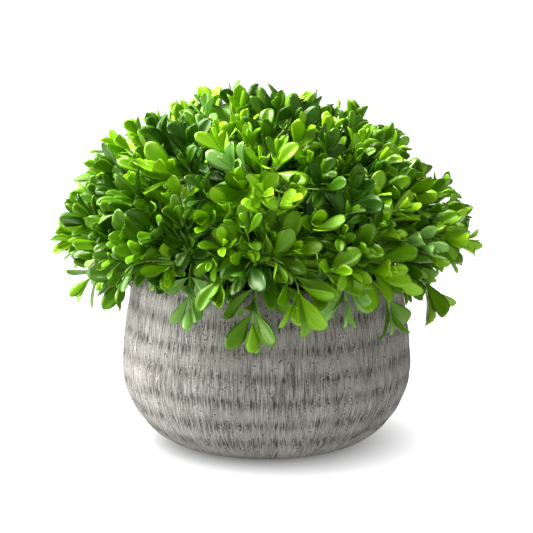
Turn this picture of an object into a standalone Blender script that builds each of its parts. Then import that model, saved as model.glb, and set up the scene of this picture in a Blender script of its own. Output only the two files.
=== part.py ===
"""Potted boxwood: a low dome of small spoon-shaped leaves in a squat bowl of combed cement.

Metres, +Z up. The origin is the centre of the pot's flat underside, and the front faces -Y.
"""

import math
import random

import bmesh
import bpy
from mathutils import Matrix, Vector
from mathutils.bvhtree import BVHTree

# The pot: a turned bowl, widest at its belly, that closes in towards the rim
POT_RADIUS = 0.115
POT_BELLY_Z = 0.062
POT_FOOT_RADIUS = 0.060
POT_RIM_RADIUS = 0.105
POT_HEIGHT = 0.139
POT_WALL = 0.009
POT_FOOT_CURVE = 1.8
POT_NECK_CURVE = 1.5
POT_TURN_STEPS = 36
POT_LOWER_RINGS = 6
POT_UPPER_RINGS = 4
LIP_STEPS = 4

# What touches on the real plant keeps this gap here
SEAT_GAP = 0.0003

# The soil: a low mound with a flat middle, where the stem stands
SOIL_TOP = 0.128
SOIL_DROP_AT_WALL = 0.003
SOIL_FLAT_RADIUS = 0.022

# The stem: short and hidden, flared at its foot, leaning a little
STEM_TOP = 0.152
STEM_RADIUS = 0.009
STEM_FOOT_RADIUS = 0.015
STEM_FORK_SWELL = 0.0008
STEM_LEAN = Vector((0.0015, 0.001, 0.0))
STEM_RINGS = 6

# The dome of leaves, measured from its heart; it falls away a little more on the +X side
HEART = Vector((0.0, 0.0, 0.157))
DOME_RADIUS = 0.171
DOME_RISE = 0.130
DOME_FALL = 0.092
DOME_FULLNESS = 1.85
DOME_LOPSIDED = 0.15
SKIRT_FULLNESS = 2.0

# The masses of foliage in rings: how many, the angle down from straight up, and the first
# one's angle round. Each owns the cone of directions that lie nearest to its own.
TOP_RING = ("top", 1, 0.0, 0.0)
UPPER_RING = ("upper", 6, 49.0, 30.0)
LOWER_RING = ("lower", 10, 88.0, 18.0)
RING_WANDER = 3.0
SPACE_MARGIN = 0.0005

# Shares of the way from the heart to the outside of the dome
BOUGH_REACH = 0.46
LEAF_ZONE = 0.53
BRANCH_REACH = 0.63
BRANCH_BARE = 0.3
CORE_LEVELS = (0.49, 0.52, 0.62, 0.66)
CORE_SIDES = 8
CORE_STEP = 0.0005
CORE_LARGEST = 0.1

# Boughs: the height and the angle at which each ring's leave the stem, every other one higher
BOUGH_ROOT_RADIUS = 0.0024
BOUGH_TIP_RADIUS = 0.0019
BOUGH_RINGS = 3
LOWER_BOUGH = (0.1335, 15.0)
UPPER_BOUGH = (0.1390, 38.0)
BOUGH_STAGGER = 0.0025
BOUGH_BEND = 0.35
BOUGH_SQUARE_TIP = 0.004

# Twigs: one for each point of a golden-angle spiral over the dome
TWIG_SPACING = 0.041
GOLDEN_ANGLE = math.pi * (3.0 - math.sqrt(5.0))
SKIRT_ANGLE = 25.0
TWIG_ROOT_RADIUS = 0.0016
TWIG_TIP_RADIUS = 0.0013
TWIG_STRAIGHT = 0.018
SKIRT_HANG = 8.0
TWIG_NUDGES = (0.0, 0.05, 0.1, 0.15, 0.25)
TIP_SCATTER = 0.07

# Leaves: opposite pairs, each pair turned across the last, and one leaf at the twig's tip
LEAF_LENGTH = 0.033
LEAF_LENGTH_SPREAD = 0.12
LEAF_WIDTH = 0.46
LEAF_WIDEST = 0.64
LEAF_THICKNESS = 0.0012
LEAF_KEEL = 0.25
LEAF_ARCH = 0.04
LEAF_PAIRS = 2
PAIR_SPACING = 0.0085
PAIR_START = 0.35
PAIR_STAGGER = 0.0006
PAIR_WIDENING = 12.0
LEAF_OPENING = 52.0
LEAF_TRIES = (
    (1.0, 0.0, 1.0), (1.0, 35.0, 1.0), (1.0, -35.0, 1.0), (0.7, 0.0, 1.0), (0.7, 45.0, 0.95),
    (0.7, -45.0, 0.95), (1.3, 20.0, 0.9), (0.4, 0.0, 0.9), (0.45, 60.0, 0.85), (0.45, -60.0, 0.85),
)
ROOT_SUNK = 0.0003
POT_CLEARANCE = 0.0015

SEED = 4130
SEED_TRIES = 20
WELD = 0.000002
JOINING_WAYS = (
    ("EXACT", "BEAUTY"), ("EXACT", "EAR_CLIP"), ("MANIFOLD", "BEAUTY"), ("MANIFOLD", "EAR_CLIP"),
)

CEMENT = ((0.21, 0.205, 0.18), 0.85)
EARTH = ((0.030, 0.026, 0.020), 0.95)
BARK = ((0.12, 0.10, 0.05), 0.8)
LEAF_GREENS = (
    ((0.075, 0.19, 0.007), 0.38),
    ((0.055, 0.15, 0.006), 0.38),
    ((0.105, 0.24, 0.010), 0.38),
)


def clear_scene():
    for old in list(bpy.data.objects):
        bpy.data.objects.remove(old, do_unlink=True)


def new_collection(name):
    group = bpy.data.collections.new(name)
    bpy.context.scene.collection.children.link(group)
    return group


def material(name, finish):
    """A plain finish of one colour, with no metal in it."""
    colour, roughness = finish
    made = bpy.data.materials.new(name)
    made.use_nodes = True
    shader = made.node_tree.nodes["Principled BSDF"]
    shader.inputs["Base Color"].default_value = (*colour, 1.0)
    shader.inputs["Roughness"].default_value = roughness
    shader.inputs["Metallic"].default_value = 0.0
    made.diffuse_color = (*colour, 1.0)
    return made


def add_object(name, data, group, finish=None):
    made = bpy.data.objects.new(name, data)
    group.objects.link(made)
    if finish:
        data.materials.append(finish)
    return made


def mesh_from(shape, name):
    mesh = bpy.data.meshes.new(name)
    shape.to_mesh(mesh)
    shape.free()
    return mesh


def apply_modifiers(thing):
    """Swap an object's mesh for the one that its modifiers make."""
    seen = thing.evaluated_get(bpy.context.evaluated_depsgraph_get())
    mesh = bpy.data.meshes.new_from_object(seen)
    thing.modifiers.clear()
    thing.data = mesh


def pot_radius(z):
    """Radius of the pot's outside at a height: a round foot, and a neck that draws in."""
    if z < POT_BELLY_Z:
        left = 1.0 - z / POT_BELLY_Z
        bulge = math.sqrt(1.0 - left**POT_FOOT_CURVE)
        return POT_FOOT_RADIUS + (POT_RADIUS - POT_FOOT_RADIUS) * bulge
    rise = (z - POT_BELLY_Z) / (POT_HEIGHT - POT_BELLY_Z)
    return POT_RADIUS - (POT_RADIUS - POT_RIM_RADIUS) * rise**POT_NECK_CURVE


def pot_side():
    """Points (radius, height) up the outside, from the foot to the start of the lip."""
    lip_start = POT_HEIGHT - POT_WALL / 2
    heights = [POT_BELLY_Z * (ring / POT_LOWER_RINGS) ** 2 for ring in range(POT_LOWER_RINGS + 1)]
    for ring in range(1, POT_UPPER_RINGS + 1):
        heights.append(POT_BELLY_Z + (lip_start - POT_BELLY_Z) * ring / POT_UPPER_RINGS)
    return [(pot_radius(z), z) for z in heights]


def inset_side(depth):
    """Every other point of the side, moved into the wall; the first stays over the foot's edge."""
    side = pot_side()
    moved = [(side[0][0], depth)]
    for before, here, after in zip(side, side[1:], side[2:] + [side[-1]]):
        run = Vector((after[0] - before[0], after[1] - before[1])).normalized()
        moved.append((here[0] - run.y * depth, here[1] + run.x * depth))
    return moved[::2]


def turned(name, profile, group, finish):
    """A solid of revolution; the profile runs down its outer side and ends on the axis."""
    shape = bmesh.new()
    points = [shape.verts.new((radius, 0.0, z)) for radius, z in profile]
    for start, end in zip(points, points[1:]):
        shape.edges.new((start, end))
    made = add_object(name, mesh_from(shape, name), group, finish)
    turn = made.modifiers.new("Turn", "SCREW")
    turn.axis = "Z"
    turn.steps = POT_TURN_STEPS
    turn.render_steps = POT_TURN_STEPS
    turn.use_merge_vertices = True
    turn.merge_threshold = 0.00001
    apply_modifiers(made)
    made.data.shade_smooth()
    made.data.set_sharp_from_angle(angle=math.radians(40))
    return made


def make_pot(group):
    """The bowl: up the inner wall, over a rounded lip, down the outside and across the foot."""
    outside = pot_side()
    inside = inset_side(POT_WALL)
    lip_centre = ((outside[-1][0] + inside[-1][0]) / 2, outside[-1][1])
    lip_radius = outside[-1][0] - lip_centre[0]
    lip = []
    for step in range(1, LIP_STEPS):
        angle = math.pi * (1.0 - step / LIP_STEPS)
        outward = lip_radius * math.cos(angle)
        lip.append((lip_centre[0] + outward, lip_centre[1] + lip_radius * math.sin(angle)))
    profile = [(0.0, POT_WALL)] + inside + lip + outside[::-1] + [(0.0, 0.0)]
    return turned("pot", profile, group, material("cement", CEMENT))


def make_soil(group):
    """The filling: a mound that keeps the seat gap to the wall and the floor all round."""
    edge_z = SOIL_TOP - SOIL_DROP_AT_WALL
    wall = [point for point in inset_side(POT_WALL + SEAT_GAP) if point[1] < edge_z]
    edge_radius = pot_radius(edge_z) - POT_WALL - 2 * SEAT_GAP
    top = [(0.0, SOIL_TOP), (SOIL_FLAT_RADIUS, SOIL_TOP), (edge_radius, edge_z)]
    profile = top + wall[::-1] + [(0.0, POT_WALL + SEAT_GAP)]
    return turned("soil", profile, group, material("earth", EARTH))


def curved_limb(name, points, radii, group, finish, resolution):
    """A round tapering limb with flat ends, along a row of points."""
    curve = bpy.data.curves.new(name, "CURVE")
    curve.dimensions = "3D"
    curve.bevel_depth = 1.0
    curve.bevel_resolution = resolution
    curve.use_fill_caps = True
    spline = curve.splines.new("POLY")
    spline.points.add(len(points) - 1)
    for knot, place, radius in zip(spline.points, points, radii):
        knot.co = (*place, 1.0)
        knot.radius = radius
    drawn = add_object(name + "_line", curve, group)
    seen = drawn.evaluated_get(bpy.context.evaluated_depsgraph_get())
    mesh = bpy.data.meshes.new_from_object(seen)
    bpy.data.objects.remove(drawn, do_unlink=True)
    shape = bmesh.new()
    shape.from_mesh(mesh)
    bmesh.ops.remove_doubles(shape, verts=shape.verts, dist=0.000001)
    limb = add_object(name, mesh_from(shape, name), group, finish)
    limb.data.shade_smooth()
    limb.data.set_sharp_from_angle(angle=math.radians(50))
    return limb


def stem_point(share):
    """The stem's axis; its foot stands straight, so that the cut under it is level."""
    foot = Vector((0.0, 0.0, SOIL_TOP + SEAT_GAP))
    rise = Vector((0.0, 0.0, STEM_TOP - foot.z))
    lean = max(0.0, share - 1.0 / STEM_RINGS)
    return foot + rise * share + STEM_LEAN * lean


def stem_radius(share):
    """Stout at the foot, slim above its flare, and a little thicker again where it forks."""
    flare = (STEM_FOOT_RADIUS - STEM_RADIUS) * (1.0 - share) ** 3
    return STEM_RADIUS + flare + STEM_FORK_SWELL * share**2


def make_stem(group, finish, name="main_stem", grown=0.0):
    shares = [ring / STEM_RINGS for ring in range(STEM_RINGS + 1)]
    points = [stem_point(share) for share in shares]
    points[0].z -= grown
    points[-1].z += grown
    return curved_limb(name, points, [stem_radius(share) + grown for share in shares], group, finish, 4)


def reach(direction):
    """How far the dome's outside lies from its heart, in a unit direction."""
    outward = math.hypot(direction.x, direction.y) / DOME_RADIUS
    if direction.z > 0.0:
        upward = direction.z / DOME_RISE
        fullness = DOME_FULLNESS - DOME_LOPSIDED * math.cos(math.atan2(direction.y, direction.x))
    else:
        upward = -direction.z / DOME_FALL
        fullness = SKIRT_FULLNESS
    return (outward**fullness + upward**fullness) ** (-1.0 / fullness)


def polar(down, round_about):
    """A unit direction, by its angles down from straight up and round from +X."""
    flat = math.sin(math.radians(down))
    turn = math.radians(round_about)
    return Vector((flat * math.cos(turn), flat * math.sin(turn), math.cos(math.radians(down))))


def mass_directions():
    """The name, the ring and the direction of every mass; the rings wander a little."""
    draw = random.Random(SEED)
    masses = []
    for ring, count, down, first in (TOP_RING, UPPER_RING, LOWER_RING):
        for index in range(count):
            name = ring if count == 1 else f"{ring}_{index + 1}"
            wander = RING_WANDER if count > 1 else 0.0
            tilt = down + draw.uniform(-wander, wander)
            turn = first + 360.0 * index / count + draw.uniform(-wander, wander)
            masses.append((name, ring, polar(tilt, turn)))
    return masses


def space_walls(own, masses):
    """Normals of the flat walls, all through the heart, that part one mass from the others."""
    return [(own - other).normalized() for _, _, other in masses if other is not own]


def in_space(point, walls, lowest_share, margin):
    """Whether a point keeps to its mass's space, out of the neighbours' and of the inner dome."""
    away = point - HEART
    if away.length < lowest_share * reach(away.normalized()):
        return False
    return all(away.dot(wall) >= margin for wall in walls)


def clear_of_pot(point, clearance):
    """Whether a point lies over the pot's rim, or outside its wall."""
    if point.z > POT_HEIGHT + clearance:
        return True
    return math.hypot(point.x, point.y) > pot_radius(max(point.z, 0.0)) + clearance


def smooth_line(start, leaving, end, arriving, count):
    """Points from start to end that set out along one direction and come in along the other."""
    pull = (end - start).length * BOUGH_BEND
    first = start + leaving.normalized() * pull
    second = end - arriving * pull
    for step in range(count + 1):
        share = step / count
        rest = 1.0 - share
        bend = first * (3 * rest**2 * share) + second * (3 * rest * share**2)
        yield start * rest**3 + bend + end * share**3


def make_bough(name, ring, index, direction, group, finish):
    """One tapering limb from the stem to its mass, which it meets squarely."""
    tip = HEART + direction * (reach(direction) * BOUGH_REACH - SEAT_GAP)
    if ring == "top":
        root = stem_point(1.0) + Vector((0.0, 0.0, SEAT_GAP))
        leaving = direction
    else:
        height, rise = LOWER_BOUGH if ring == "lower" else UPPER_BOUGH
        root = Vector((0.0, 0.0, height + BOUGH_STAGGER * (index % 2)))
        leaving = Vector((direction.x, direction.y, 0.0)).normalized()
        leaving.z = math.tan(math.radians(rise))
    bent_end = tip - direction * BOUGH_SQUARE_TIP
    points = list(smooth_line(root, leaving, bent_end, direction, BOUGH_RINGS)) + [tip]
    thinning = (BOUGH_TIP_RADIUS - BOUGH_ROOT_RADIUS) / (len(points) - 1)
    radii = [BOUGH_ROOT_RADIUS + thinning * ring_index for ring_index in range(len(points))]
    return curved_limb("bough_" + name, points, radii, group, finish, 1)


def cut_boughs_clear(boughs, cutter):
    """Shape each bough's root to the stem's round side, a seat gap away from it."""
    for bough in boughs:
        cut = bough.modifiers.new("Root", "BOOLEAN")
        cut.operation = "DIFFERENCE"
        cut.object = cutter
        apply_modifiers(bough)


def swept_cone(knots, radii, sides):
    """A slim straight or bent twig: a cone cut into rings, one for each knot of its line."""
    shape = bmesh.new()
    lifted = Matrix.Translation((0.0, 0.0, 0.5))
    bmesh.ops.create_cone(
        shape, cap_ends=True, segments=sides, radius1=radii[0], radius2=radii[1], depth=1.0, matrix=lifted
    )
    spans = len(knots) - 1
    for ring in range(1, spans):
        everything = shape.verts[:] + shape.edges[:] + shape.faces[:]
        bmesh.ops.bisect_plane(shape, geom=everything, plane_co=(0, 0, ring / spans), plane_no=(0, 0, 1))
    first = (knots[1] - knots[0]).normalized()
    upright = Vector((0.0, 0.0, 1.0)).rotation_difference(first)
    for corner in shape.verts:
        ring = round(corner.co.z * spans)
        run = (knots[min(ring + 1, spans)] - knots[max(ring - 1, 0)]).normalized()
        turn = first.rotation_difference(run) @ upright
        corner.co = knots[ring] + turn @ Vector((corner.co.x, corner.co.y, 0.0))
    return shape


def leaf_corners(root, along, up, length):
    """The blade's root and tip, and the corners round its widest part: two edges and the keel below."""
    side = along.cross(up) * (length * LEAF_WIDTH / 2)
    widest = root + along * (length * LEAF_WIDEST) + up * (length * LEAF_ARCH)
    keel = root + along * (length * LEAF_KEEL) - up * LEAF_THICKNESS
    return (root, root + along * length, widest + side, widest - side, keel)


def leaf_shape(corners):
    """A keeled blade of six faces, made from a ball of three segments and two rings."""
    root, tip, right, left, keel = corners
    shape = bmesh.new()
    bmesh.ops.create_uvsphere(shape, u_segments=3, v_segments=2, radius=1.0)
    for corner in shape.verts:
        if abs(corner.co.z) > 0.5:
            corner.co = tip if corner.co.z > 0 else root
        else:
            sector = round(math.atan2(corner.co.y, corner.co.x) / math.radians(120.0)) % 3
            corner.co = (keel, left, right)[sector]
    bmesh.ops.recalc_face_normals(shape, faces=shape.faces)
    return shape


def leaf_fits(corners, walls):
    """Whether a whole leaf keeps to its mass's space and clear of the pot."""
    root = corners[0]
    if not all(in_space(point, walls, LEAF_ZONE, SPACE_MARGIN) for point in corners[1:]):
        return False
    tip = corners[1]
    spots = [root.lerp(point, share) for point in corners[1:] for share in (0.3, 0.5, 0.7, 1.0)]
    spots += [tip.lerp(edge, share) for edge in corners[2:] for share in (0.3, 0.6)]
    return all(clear_of_pot(spot, POT_CLEARANCE) for spot in spots)


def crosses(shape, others):
    """Whether a piece would cut through one of those already placed."""
    tree = BVHTree.FromBMesh(shape)
    return any(tree.overlap(other) for other in others)


def grow_leaf(root, axis, aside, opening, length, walls, others):
    """A leaf that opens aside from its twig's axis, its face turned to the twig's tip.

    Where it doesn't fit, it is tried more closed, turned round the twig, and smaller.
    """
    for closing, twist, shrink in LEAF_TRIES:
        angle = math.radians(opening * closing)
        turned_side = Matrix.Rotation(math.radians(twist), 3, axis) @ aside
        along = (axis * math.cos(angle) + turned_side * math.sin(angle)).normalized()
        facing = axis if angle > 0.1 else aside
        up = (facing - along * facing.dot(along)).normalized()
        corners = leaf_corners(root - along * ROOT_SUNK, along, up, length * shrink)
        if not leaf_fits(corners, walls):
            continue
        shape = leaf_shape(corners)
        if not crosses(shape, others):
            return shape
        shape.free()
    return None


def twig_targets():
    """Points all over the dome: a golden-angle spiral with an equal patch for each twig."""
    draw = random.Random(SEED + 1)
    lowest = -math.sin(math.radians(SKIRT_ANGLE)) * DOME_RADIUS / DOME_RISE
    height = 1.0
    turn = 0.0
    while height > lowest:
        slant = math.sqrt(DOME_RISE**2 + (DOME_RADIUS**2 - DOME_RISE**2) * height**2)
        step = TWIG_SPACING**2 / (2.0 * math.pi * DOME_RADIUS * slant)
        middle = height - step / 2
        flat = math.sqrt(max(0.0, 1.0 - middle * middle)) * DOME_RADIUS
        direction = Vector((flat * math.cos(turn), flat * math.sin(turn), DOME_RISE * middle)).normalized()
        shortened = 1.0 - draw.uniform(0.0, TIP_SCATTER)
        yield direction, HEART + direction * reach(direction) * shortened
        height -= step
        turn += GOLDEN_ANGLE


class Twig:
    """A twig that leaves its branch, turns away from the dome's heart and hangs where it is in the skirt."""

    def __init__(self, root, direction, target, draw):
        spread = LEAF_LENGTH_SPREAD
        self.leaf_length = LEAF_LENGTH * draw.uniform(1.0 - spread, 1.0 + spread)
        hang = Vector((0.0, 0.0, min(0.0, direction.z) * SKIRT_HANG))
        self.outward = (direction + hang).normalized()
        self.end = target - self.outward * self.leaf_length
        straight = min(TWIG_STRAIGHT, (self.end - root).length * 0.7)
        self.knots = (root, self.end - self.outward * straight, self.end)
        level = self.outward.cross(Vector((0.0, 0.0, 1.0) if abs(self.outward.z) < 0.9 else (1.0, 0.0, 0.0)))
        self.across = Matrix.Rotation(draw.uniform(0.0, math.pi), 3, self.outward) @ level.normalized()
        self.opening = LEAF_OPENING * draw.uniform(0.85, 1.15)
        self.shape = swept_cone(self.knots, (TWIG_ROOT_RADIUS, TWIG_TIP_RADIUS), 3)
        self.tree = BVHTree.FromBMesh(self.shape)

    def fits(self, walls):
        """Whether the whole twig keeps to its mass's space, over the pot's rim or outside its wall."""
        if not all(in_space(corner.co, walls, 0.0, SPACE_MARGIN) for corner in self.shape.verts):
            return False
        root, elbow, end = self.knots
        spots = [start.lerp(stop, step / 6) for start, stop in ((root, elbow), (elbow, end)) for step in range(7)]
        return all(clear_of_pot(spot, POT_CLEARANCE + TWIG_ROOT_RADIUS) for spot in spots)

    def places(self, pair):
        """Root and side of each leaf of a pair; every pair is turned across the one before it."""
        back = (pair + PAIR_START) * PAIR_SPACING
        side = Matrix.Rotation(pair * math.pi / 2, 3, self.outward) @ self.across
        node = self.end - self.outward * back
        return ((node, side), (node + self.outward * PAIR_STAGGER, -side))


def grow_leaves(twigs, walls, core):
    """Leaves for all of a mass's twigs: the tip leaves first, and then the pairs from the tips back."""
    placed = []
    for twig in twigs:
        others = [core] + placed + [other.tree for other in twigs if other is not twig]
        leaf = grow_leaf(twig.end, twig.outward, twig.across, 0.0, twig.leaf_length, walls, others)
        if leaf:
            placed.append(BVHTree.FromBMesh(leaf))
            yield leaf
    for pair in range(LEAF_PAIRS):
        for twig in twigs:
            others = [core] + placed + [other.tree for other in twigs if other is not twig]
            opening = twig.opening + PAIR_WIDENING * pair
            for root, side in twig.places(pair):
                leaf = grow_leaf(root, twig.outward, side, opening, twig.leaf_length, walls, others)
                if leaf:
                    placed.append(BVHTree.FromBMesh(leaf))
                    yield leaf


def core_shape(direction, walls):
    """The dense middle of a mass: a ball whose rings go out to the walls of its space."""
    shape = bmesh.new()
    bmesh.ops.create_uvsphere(shape, u_segments=CORE_SIDES, v_segments=3, radius=1.0)
    upright = direction.to_track_quat("Z", "Y")
    for corner in shape.verts:
        level = sum(corner.co.z > height for height in (-0.9, 0.0, 0.9))
        spot = HEART + direction * reach(direction) * CORE_LEVELS[level]
        if level in (1, 2):
            aside = upright @ Vector((corner.co.x, corner.co.y, 0.0)).normalized()
            spot = core_wall(spot, aside, CORE_LEVELS[level], walls)
        corner.co = spot
    return shape


def core_wall(spot, aside, level, walls):
    """Step aside from the middle of a core, at one level of the dome, as far as its space goes."""
    for _ in range(round(CORE_LARGEST / CORE_STEP)):
        heading = (spot + aside * CORE_STEP - HEART).normalized()
        ahead = HEART + heading * reach(heading) * level
        low = POT_HEIGHT + 2 * POT_CLEARANCE
        if ahead.z < low or not in_space(ahead, walls, 0.0, 3 * SPACE_MARGIN):
            break
        spot = ahead
    return spot


def joined(name, base, shapes, solver):
    """One union of a mass's core with all its pieces, as a mesh."""
    loose = new_collection(name + "_pieces")
    for index, shape in enumerate(shapes):
        mesh = bpy.data.meshes.new("piece")
        shape.to_mesh(mesh)
        add_object(f"{name}_piece_{index}", mesh, loose)
    mesh = bpy.data.meshes.new(name)
    base.to_mesh(mesh)
    body = add_object(name + "_core", mesh, bpy.context.scene.collection)
    join = body.modifiers.new("Join", "BOOLEAN")
    join.operation = "UNION"
    join.operand_type = "COLLECTION"
    join.collection = loose
    join.solver = solver
    apply_modifiers(body)
    mesh = body.data
    for piece in list(loose.objects) + [body]:
        bpy.data.objects.remove(piece, do_unlink=True)
    bpy.data.collections.remove(loose)
    return mesh


def shells_of(shape):
    """The separate surfaces of a mesh, each as a set of its corners."""
    unseen = set(shape.verts)
    shells = []
    while unseen:
        shell = set()
        waiting = [unseen.pop()]
        while waiting:
            corner = waiting.pop()
            shell.add(corner)
            near = {edge.other_vert(corner) for edge in corner.link_edges} & unseen
            unseen -= near
            waiting.extend(near)
        shells.append(shell)
    return shells


def outer_shell(mesh, method):
    """The largest shell in triangles, without loose scraps or the hollows that joining sealed."""
    shape = bmesh.new()
    shape.from_mesh(mesh)
    largest = max(shells_of(shape), key=len)
    scraps = [corner for corner in shape.verts if corner not in largest]
    bmesh.ops.delete(shape, geom=scraps, context="VERTS")
    bmesh.ops.triangulate(shape, faces=shape.faces, ngon_method=method)
    bmesh.ops.remove_doubles(shape, verts=shape.verts, dist=WELD)
    return shape


def is_one_body(shape):
    return all(len(edge.link_faces) == 2 for edge in shape.edges) and len(shells_of(shape)) == 1


def fused(name, base, shapes):
    """A mass joined into one closed body, or nothing where no way of joining closes it."""
    for solver, method in JOINING_WAYS:
        shape = outer_shell(joined(name, base, shapes, solver), method)
        if is_one_body(shape):
            return shape
        shape.free()
    return None


def nearest_mass(direction, masses):
    return max((own for _, _, own in masses), key=lambda own: own.dot(direction))


def grow_mass(name, own, walls, near, seed):
    """One mass: a branch and a core, and a twig with its leaves for each target in its space."""
    draw = random.Random(seed)
    branch = [HEART + own * reach(own) * share for share in (BOUGH_REACH, BRANCH_REACH)]
    core = core_shape(own, walls)
    twigs = []
    for index, (direction, target) in enumerate(near):
        share = BRANCH_BARE + (1.0 - BRANCH_BARE) * (index + 0.5) / len(near)
        root = branch[0].lerp(branch[1], share)
        for nudge in TWIG_NUDGES:
            heading = direction.lerp(own, nudge).normalized()
            twig = Twig(root, heading, HEART + heading * (target - HEART).length, draw)
            if twig.fits(walls):
                twigs.append(twig)
                break
    leaves = list(grow_leaves(twigs, walls, BVHTree.FromBMesh(core)))
    shapes = [swept_cone(branch, (BOUGH_TIP_RADIUS, TWIG_ROOT_RADIUS), 6)]
    shapes += [twig.shape for twig in twigs] + leaves
    return fused(name, core, shapes)


def make_masses(masses, group):
    """All the foliage; a mass that doesn't close is grown again from another seed."""
    greens = [material(f"leaf_green_{index + 1}", finish) for index, finish in enumerate(LEAF_GREENS)]
    targets = list(twig_targets())
    for number, (name, _, own) in enumerate(masses):
        walls = space_walls(own, masses)
        near = [target for target in targets if nearest_mass(target[0], masses) is own]
        near.sort(key=lambda target: target[0].dot(own))
        for attempt in range(SEED_TRIES):
            grown = grow_mass(name, own, walls, near, SEED + 100 * number + attempt)
            if grown:
                break
        full_name = "foliage_" + name
        add_object(full_name, mesh_from(grown, full_name), group, greens[number % len(greens)])


def main():
    clear_scene()
    group = new_collection("potted_boxwood")
    cutters = new_collection("cutters")
    make_pot(group)
    make_soil(group)
    bark = material("bark", BARK)
    make_stem(group, bark)
    masses = mass_directions()
    boughs = []
    for index, (name, ring, direction) in enumerate(masses):
        boughs.append(make_bough(name, ring, index, direction, group, bark))
    cutter = make_stem(cutters, bark, "stem_cutter", SEAT_GAP)
    cutter.hide_render = True
    cutter.display_type = "WIRE"
    cut_boughs_clear([bough for bough in boughs if bough.name != "bough_top"], cutter)
    make_masses(masses, group)


if __name__ == "__main__":
    main()
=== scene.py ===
"""Potted boxwood: a dome of small glossy spoon-shaped leaves in a bowl of combed grey cement.

Metres, +Z up, the front faces -Y. The crown grows over the same dome as its solids do, by the same
rule, carried to finer twigs and smaller leaves.
"""

import math
import random

import bpy
import numpy as np
from mathutils import Matrix, Vector, noise
from mathutils.bvhtree import BVHTree


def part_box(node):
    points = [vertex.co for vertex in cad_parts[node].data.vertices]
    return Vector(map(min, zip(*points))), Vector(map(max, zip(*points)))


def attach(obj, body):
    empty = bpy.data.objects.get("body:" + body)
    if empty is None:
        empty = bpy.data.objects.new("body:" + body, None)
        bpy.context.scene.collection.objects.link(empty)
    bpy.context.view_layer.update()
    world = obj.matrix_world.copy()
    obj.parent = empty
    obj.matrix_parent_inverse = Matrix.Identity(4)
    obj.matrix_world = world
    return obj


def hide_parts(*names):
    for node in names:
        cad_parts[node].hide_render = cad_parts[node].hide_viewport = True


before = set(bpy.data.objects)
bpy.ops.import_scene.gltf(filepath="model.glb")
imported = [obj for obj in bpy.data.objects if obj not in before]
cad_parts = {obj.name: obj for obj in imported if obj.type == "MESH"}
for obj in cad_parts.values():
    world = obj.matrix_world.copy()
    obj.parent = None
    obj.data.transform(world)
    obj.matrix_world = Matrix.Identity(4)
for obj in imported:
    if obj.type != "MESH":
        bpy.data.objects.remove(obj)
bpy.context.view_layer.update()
POT_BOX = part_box("pot")
SOIL_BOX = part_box("soil")

# The view of the photograph: from a little above, and from far off
IMAGE_SIZE = 533
SENSOR = 36.0
FOCAL_PIXELS = 1875.0
CAMERA_AT = Vector((0.0, -1.4627, 0.4023))
CAMERA_AIM = Vector((0.0, 0.0, 0.139))

# The pot's side, as in the solids
POT_HEIGHT = 0.139
POT_RADIUS = POT_BOX[1].x
POT_BELLY_Z = 0.062
POT_FOOT_RADIUS = 0.060
POT_RIM_RADIUS = 0.105
POT_WALL = 0.009
POT_FOOT_CURVE = 1.8
POT_NECK_CURVE = 1.5

# The pot's surface: turning bands, combed grooves between them, and pits
POT_STEPS = 1024
SIDE_RINGS = 76
LIP_STEPS = 6
INNER_RINGS = 8
BAND_HEIGHTS = (0.0196, 0.0368, 0.0554, 0.0752, 0.0951, 0.1149, 0.133)
BAND_HALF_HEIGHT = 0.0042
BAND_DEPTH = 0.0004
BAND_WANDER = 0.0022
GROOVE_DEPTH = 0.00050
GROOVE_WIDTH = 0.0010
GROOVE_LENGTH = 0.010
LUMP_DEPTH = 0.0005
PIT_DEPTH = 0.0005

# The soil and its crumbs
SOIL_DROP = 0.003
CRUMBS = 700

# The stem and the boughs, as in the solids
STEM_TOP = 0.152
STEM_RADIUS = 0.009
STEM_FOOT_RADIUS = 0.015
STEM_FORK_SWELL = 0.0008
STEM_LEAN = Vector((0.0015, 0.001, 0.0))
SEAT_GAP = 0.0003
BOUGH_ROOT_RADIUS = 0.0024
BOUGH_TIP_RADIUS = 0.0019
LOWER_BOUGH = (0.1335, 15.0)
UPPER_BOUGH = (0.1390, 38.0)
BOUGH_STAGGER = 0.0025
BOUGH_BEND = 0.35
BARK_DEPTH = 0.0005

# The dome of leaves, as in the solids
HEART = Vector((0.0, 0.0, 0.157))
DOME_RADIUS = 0.171
DOME_RISE = 0.130
DOME_FALL = 0.092
DOME_FULLNESS = 1.85
DOME_LOPSIDED = 0.15
SKIRT_FULLNESS = 2.0
TOP_RING = ("top", 1, 0.0, 0.0)
UPPER_RING = ("upper", 6, 49.0, 30.0)
LOWER_RING = ("lower", 10, 88.0, 18.0)
RING_WANDER = 3.0
BOUGH_REACH = 0.46
BRANCH_REACH = 0.63
BRANCH_BARE = 0.1
GOLDEN_ANGLE = math.pi * (3.0 - math.sqrt(5.0))
SEED = 4130

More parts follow.
